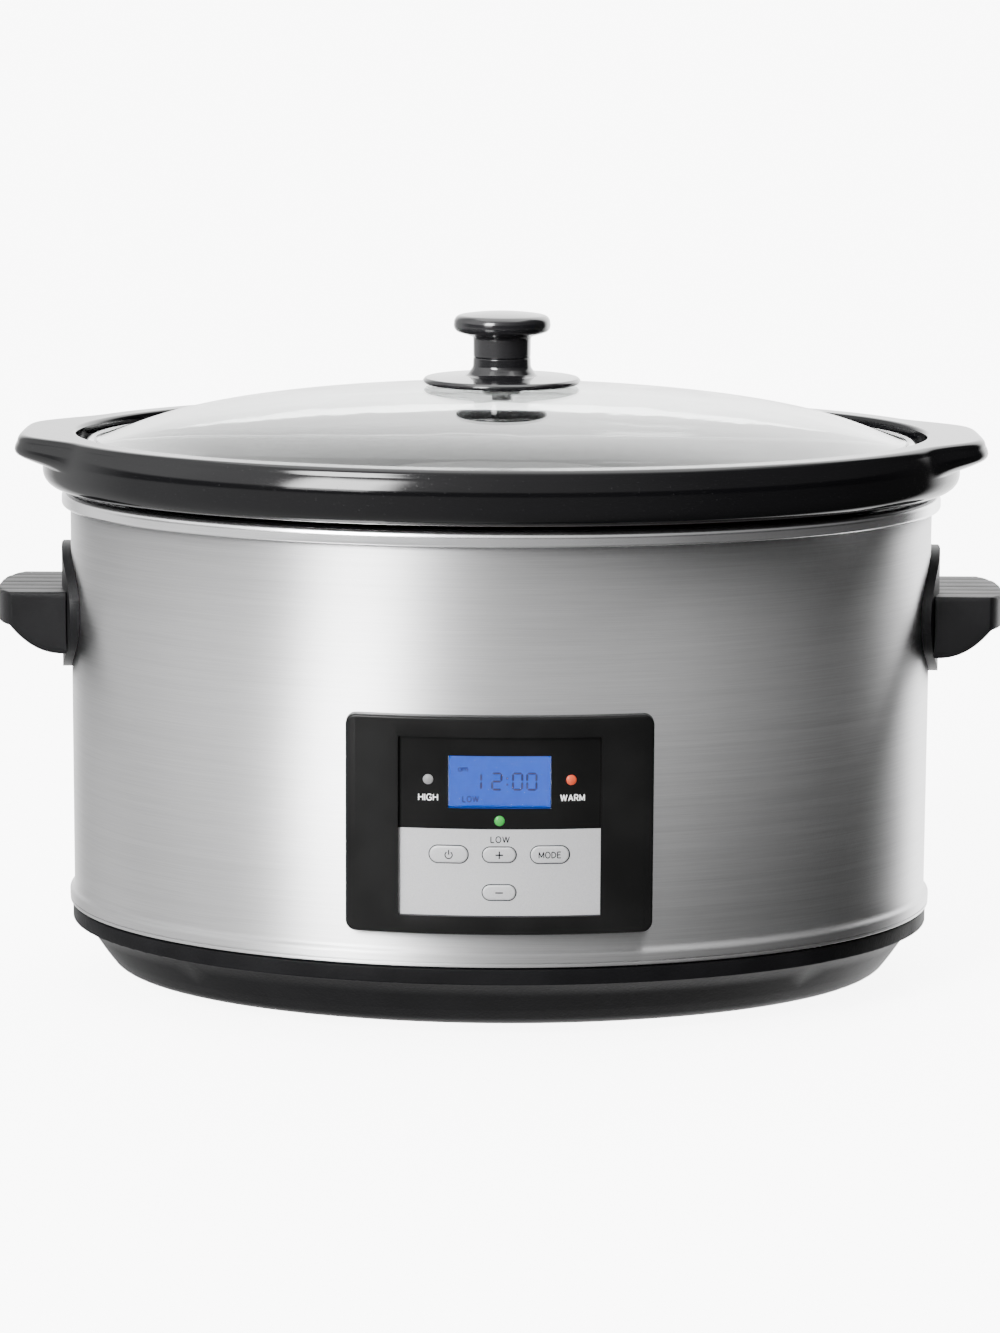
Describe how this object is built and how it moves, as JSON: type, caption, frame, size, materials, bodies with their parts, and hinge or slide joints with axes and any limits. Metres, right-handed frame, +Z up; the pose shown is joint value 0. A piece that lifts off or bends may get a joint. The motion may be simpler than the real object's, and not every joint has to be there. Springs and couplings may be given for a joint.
{
  "type": "slow cooker",
  "caption": "Oval slow cooker: brushed steel housing with side handles and a curved push-button panel, lift-out glazed crock, and domed glass lid with a knob.",
  "frame": {"origin": "on the table, under the middle of the pot", "axes": "+X to the right along the longest side, +Y to the back away from the control panel, +Z up"},
  "size_m": [0.4438, 0.2998, 0.2971],
  "materials": {
    "steel_shell": "horizontal brushed grain, satin",
    "polished_steel": "polished",
    "crock_glaze": "glossy black glaze",
    "lid_glass": "clear tempered glass",
    "knob_phenolic": "glossy black moulding",
    "base_plastic": "fine grained matte black",
    "handle_plastic": "fine grained matte black",
    "bezel_plastic": "satin black",
    "fascia_black": "gloss black",
    "keypad_silver": "satin silver lacquer",
    "button_silver": "satin silver",
    "display_window": "clear window",
    "display_blue": "backlit blue display",
    "lamp_grey": "unlit lamp",
    "lamp_green": "green lamp",
    "lamp_red": "red lamp",
    "foot_rubber": "soft rubber",
    "silicone": "grey silicone",
    "liner_steel": "aluminised sheet",
    "heater_mica": "mica sheet",
    "fastener_steel": "zinc plated",
    "insert_brass": "turned brass",
    "circuit_board": "green solder mask",
    "component_black": "moulded epoxy",
    "component_white": "white nylon"
  },
  "bodies": {
    "housing": {"base_tray": "base_plastic", "front_left_foot": "foot_rubber", "front_right_foot": "foot_rubber", "back_left_foot": "foot_rubber", "back_right_foot": "foot_rubber", "outer_shell": "steel_shell", "rim_ring": "polished_steel", "heating_liner": "liner_steel", "heater_band": "heater_mica", "heater_clamp_bolts": "fastener_steel", "heater_terminals": "insert_brass", "heat_shield": "liner_steel", "liner_studs": "fastener_steel", "stud_nuts": "fastener_steel", "left_handle_plate": "handle_plastic", "left_handle_grip": "handle_plastic", "right_handle_plate": "handle_plastic", "right_handle_grip": "handle_plastic", "handle_screws": "fastener_steel", "panel_bezel": "bezel_plastic", "display_fascia": "fascia_black", "keypad_plate": "keypad_silver", "lcd_window": "display_window", "lcd_module": "display_blue", "lcd_backlight": "component_white", "led_high": "lamp_grey", "led_warm": "lamp_red", "led_low": "lamp_green", "switch_bodies": "component_black", "control_board": "circuit_board", "board_screws": "fastener_steel", "control_chip": "component_black", "buzzer": "component_black", "bezel_screws": "fastener_steel", "power_board": "circuit_board", "power_board_screws": "fastener_steel", "relay": "component_black", "transformer": "component_black", "filter_capacitor": "component_black", "thermistor": "fastener_steel", "thermal_fuse": "component_white", "cord_gland": "foot_rubber", "gland_nut": "component_black"},
    "crock": {"stoneware_crock": "crock_glaze"},
    "lid": {"lid_glass": "lid_glass", "knob_skirt": "knob_phenolic", "knob_cap": "knob_phenolic", "knob_gaskets": "silicone", "knob_washer": "fastener_steel", "knob_insert": "insert_brass", "knob_screw": "fastener_steel"},
    "power_key": {"power_button": "button_silver", "power_plunger": "component_white"},
    "plus_key": {"plus_button": "button_silver", "plus_plunger": "component_white"},
    "mode_key": {"mode_button": "button_silver", "mode_plunger": "component_white"},
    "minus_key": {"minus_button": "button_silver", "minus_plunger": "component_white"}
  },
  "joints": [
    {"name": "crock_lift", "type": "slide", "parent": "housing", "child": "crock", "axis": [0, 0, 1], "range_m": [0, 0.2]},
    {"name": "lid_lift", "type": "slide", "parent": "crock", "child": "lid", "axis": [0, 0, 1], "range_m": [0, 0.12]},
    {"name": "power_press", "type": "slide", "parent": "housing", "child": "power_key", "axis": [0, 1, 0], "range_m": [0, 0.0008], "stiffness_N_per_m": 1500},
    {"name": "plus_press", "type": "slide", "parent": "housing", "child": "plus_key", "axis": [0, 1, 0], "range_m": [0, 0.0008], "stiffness_N_per_m": 1500},
    {"name": "mode_press", "type": "slide", "parent": "housing", "child": "mode_key", "axis": [0, 1, 0], "range_m": [0, 0.0008], "stiffness_N_per_m": 1500},
    {"name": "minus_press", "type": "slide", "parent": "housing", "child": "minus_key", "axis": [0, 1, 0], "range_m": [0, 0.0008], "stiffness_N_per_m": 1500}
  ]
}
